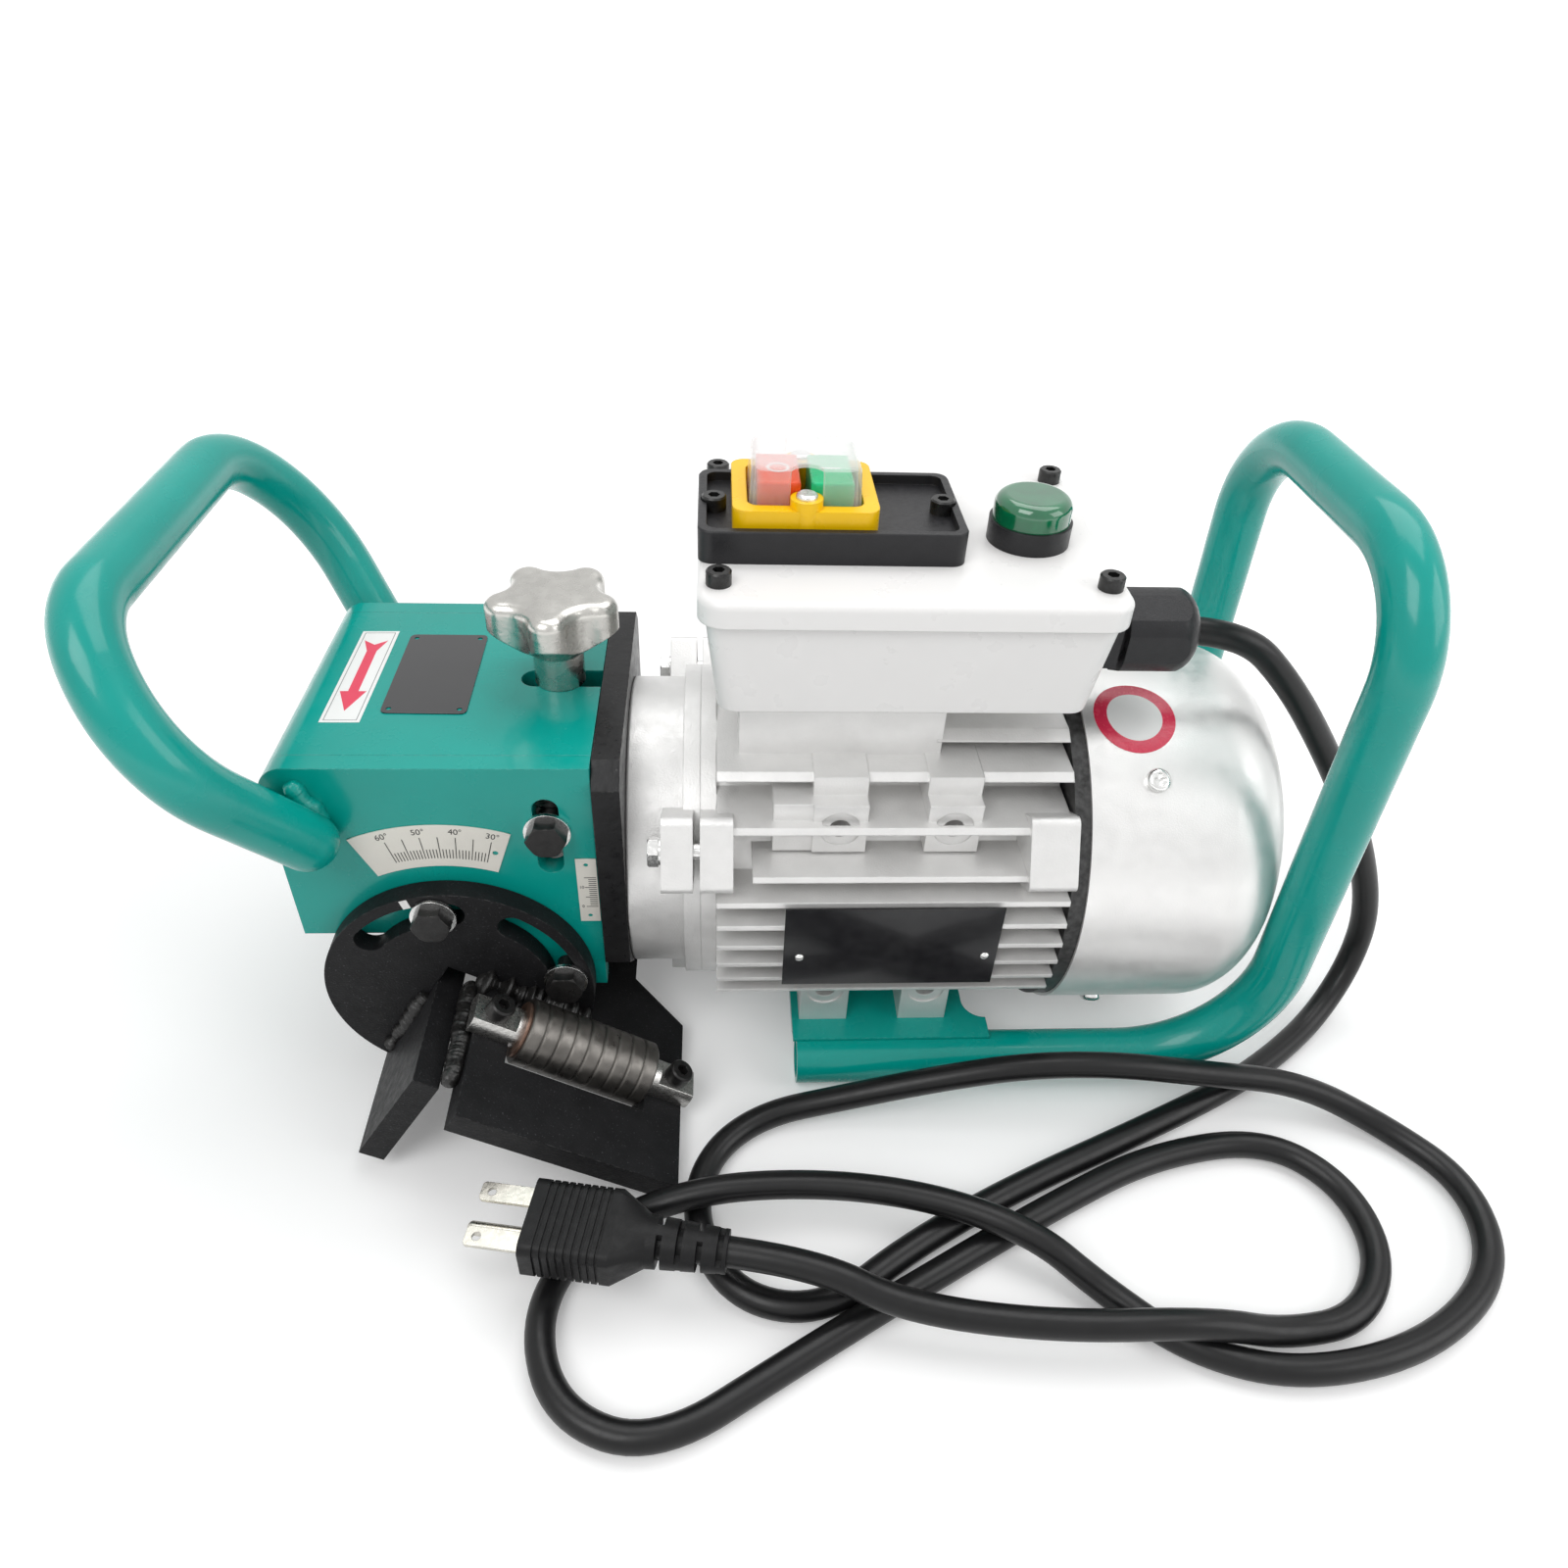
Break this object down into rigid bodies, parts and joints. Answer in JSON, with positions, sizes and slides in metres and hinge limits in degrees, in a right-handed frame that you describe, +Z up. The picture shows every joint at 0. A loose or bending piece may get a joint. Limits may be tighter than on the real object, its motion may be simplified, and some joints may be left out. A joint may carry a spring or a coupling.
{
  "type": "edge beveling machine",
  "caption": "Hand-held plate edge beveling machine: motor-driven milling cutter over a tilting V guide with roller stacks, depth knob, two tube handles, switch box, cord and plug.",
  "frame": {"origin": "on the floor, under the middle of the machine's bounding box, measured without the cord and plug", "axes": "+X along the motor axis towards the fan, +Z up, -Y towards the operator's side with the scales"},
  "size_m": [0.5033, 0.3483, 0.2485],
  "materials": {
    "teal_paint": "gloss",
    "black_steel": "satin",
    "motor_silver": "satin",
    "cowl_silver": "satin",
    "black_bolt": "satin",
    "zinc": "bright",
    "steel": "satin",
    "copper": "satin",
    "winding": "satin",
    "rubber_black": "matte",
    "box_white": "satin",
    "lid_white": "satin",
    "black_plastic": "matte",
    "yellow_plastic": "gloss",
    "red_plastic": "gloss",
    "green_plastic": "gloss",
    "clear_cap": "gloss",
    "lamp_green": "gloss",
    "nameplate": "gloss",
    "knob_metal": "satin",
    "carbide": "satin",
    "fan_plastic": "matte"
  },
  "bodies": {
    "motor_unit": {"motor_plate": "black_steel", "plate_bolts": "black_bolt", "guide_cheeks": "steel", "lift_nut": "steel", "front_end_shield": "motor_silver", "stator_frame": "motor_silver", "rear_end_shield": "motor_silver", "end_shield_bolts": "black_bolt", "motor_bearings": "steel", "shaft_seal": "rubber_black", "stator_core": "winding", "fan_cowl": "cowl_silver", "cowl_screws": "zinc", "motor_nameplate": "nameplate", "rear_handle": "teal_paint", "handle_bracket": "teal_paint", "bracket_bolts": "black_bolt", "control_box": "box_white", "box_gasket": "rubber_black", "box_lid": "lid_white", "box_screws": "black_bolt", "switch_base": "black_plastic", "switch_frame": "yellow_plastic", "switch_cap": "clear_cap", "switch_block": "black_plastic", "lamp_ring": "black_plastic", "lamp_lens": "lamp_green", "gland_body": "black_plastic", "gland_nut": "black_plastic", "power_cord": "rubber_black", "plug_body": "rubber_black", "plug_prongs": "zinc", "clamp_bolts": "black_bolt", "clamp_washers": "zinc"},
    "start_button": {"start_button": "green_plastic"},
    "stop_button": {"stop_button": "red_plastic"},
    "spindle": {"rotor_shaft": "steel", "rotor": "steel", "cooling_fan": "fan_plastic", "cutter_holder": "steel", "milling_cutter": "steel", "cutter_inserts": "carbide", "cutter_screw": "black_bolt"},
    "housing": {"cover_plate": "teal_paint", "side_plate_front": "teal_paint", "side_plate_rear": "teal_paint", "disc_bolts": "black_bolt", "disc_washers": "zinc", "front_handle": "teal_paint"},
    "knob": {"depth_screw": "steel", "star_knob": "knob_metal"},
    "guide": {"angle_disc_front": "black_steel", "angle_disc_rear": "black_steel", "fence_plate": "black_steel", "support_plate": "black_steel", "roller_pins": "steel", "pin_screws": "black_bolt", "pin_washers": "copper"},
    "roller_front": {"roller_front": "black_bolt"},
    "roller_rear": {"roller_rear": "black_bolt"}
  },
  "joints": [
    {"name": "depth_slide", "type": "slide", "parent": "motor_unit", "child": "housing", "axis": [0, 0, 1], "range_m": [-0.005, 0.01]},
    {"name": "depth_knob", "type": "hinge", "parent": "housing", "child": "knob", "pos_m": [-0.07741, 0, 0.1545], "axis": [0, 0, 1], "range_deg": [-1210, 2410]},
    {"name": "bevel_angle", "type": "hinge", "parent": "housing", "child": "guide", "pos_m": [-0.11791, 0, 0.0505], "axis": [0, 1, 0], "range_deg": [-2, 28]},
    {"name": "front_rollers", "type": "hinge", "parent": "guide", "child": "roller_front", "pos_m": [-0.06894, -0.085, 0.03452], "axis": [0.848, 0, -0.5299], "continuous": true},
    {"name": "rear_rollers", "type": "hinge", "parent": "guide", "child": "roller_rear", "pos_m": [-0.06894, 0.085, 0.03452], "axis": [0.848, 0, -0.5299], "continuous": true},
    {"name": "spindle_turn", "type": "hinge", "parent": "motor_unit", "child": "spindle", "pos_m": [-0.05141, 0, 0.0845], "axis": [1, 0, 0], "continuous": true},
    {"name": "start_press", "type": "slide", "parent": "motor_unit", "child": "start_button", "axis": [0, 0, -1], "range_m": [0, 0.003], "stiffness_N_per_m": 1000},
    {"name": "stop_press", "type": "slide", "parent": "motor_unit", "child": "stop_button", "axis": [0, 0, -1], "range_m": [0, 0.003], "stiffness_N_per_m": 1000}
  ],
  "couplings": [
    {"joint": "depth_knob", "follows": "depth_slide", "rad_per_m": 4188.8}
  ]
}
